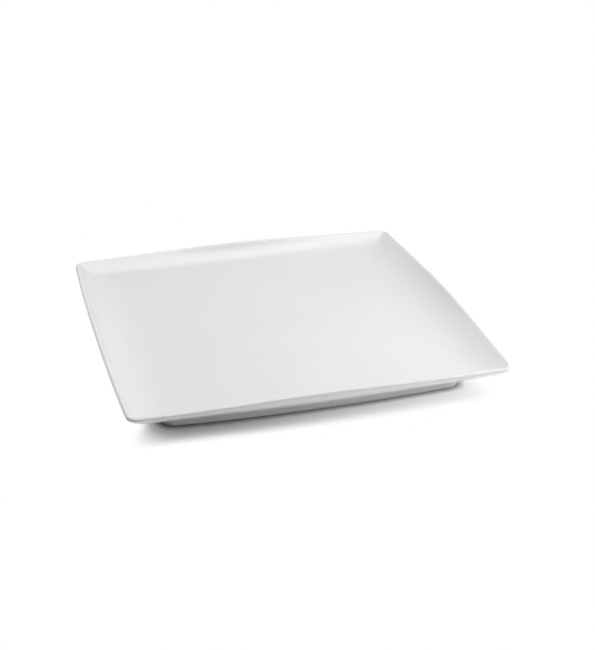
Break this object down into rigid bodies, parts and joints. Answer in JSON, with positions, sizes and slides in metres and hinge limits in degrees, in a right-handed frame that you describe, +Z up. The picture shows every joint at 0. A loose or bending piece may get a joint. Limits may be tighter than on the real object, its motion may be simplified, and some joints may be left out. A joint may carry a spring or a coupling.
{
  "type": "square dinner plate",
  "caption": "Square white glazed porcelain dinner plate with gently bowed, raised sides, a rounded lip, a flat floor and a low foot ring that it rests on.",
  "frame": {"origin": "on the surface that the plate stands on, below the middle of the plate", "axes": "+Z up out of the well, +X and +Y towards the middles of two neighbouring sides, -Y the front"},
  "size_m": [0.27, 0.27, 0.027],
  "materials": {
    "bare_porcelain": "bare fired porcelain, ground fine at the foot",
    "face_glaze": "clear gloss glaze over white porcelain",
    "underside_glaze": "clear gloss glaze over white porcelain"
  },
  "bodies": {
    "root": {"porcelain_body": "bare_porcelain", "face_glaze": "face_glaze", "underside_glaze": "underside_glaze"}
  },
  "joints": []
}
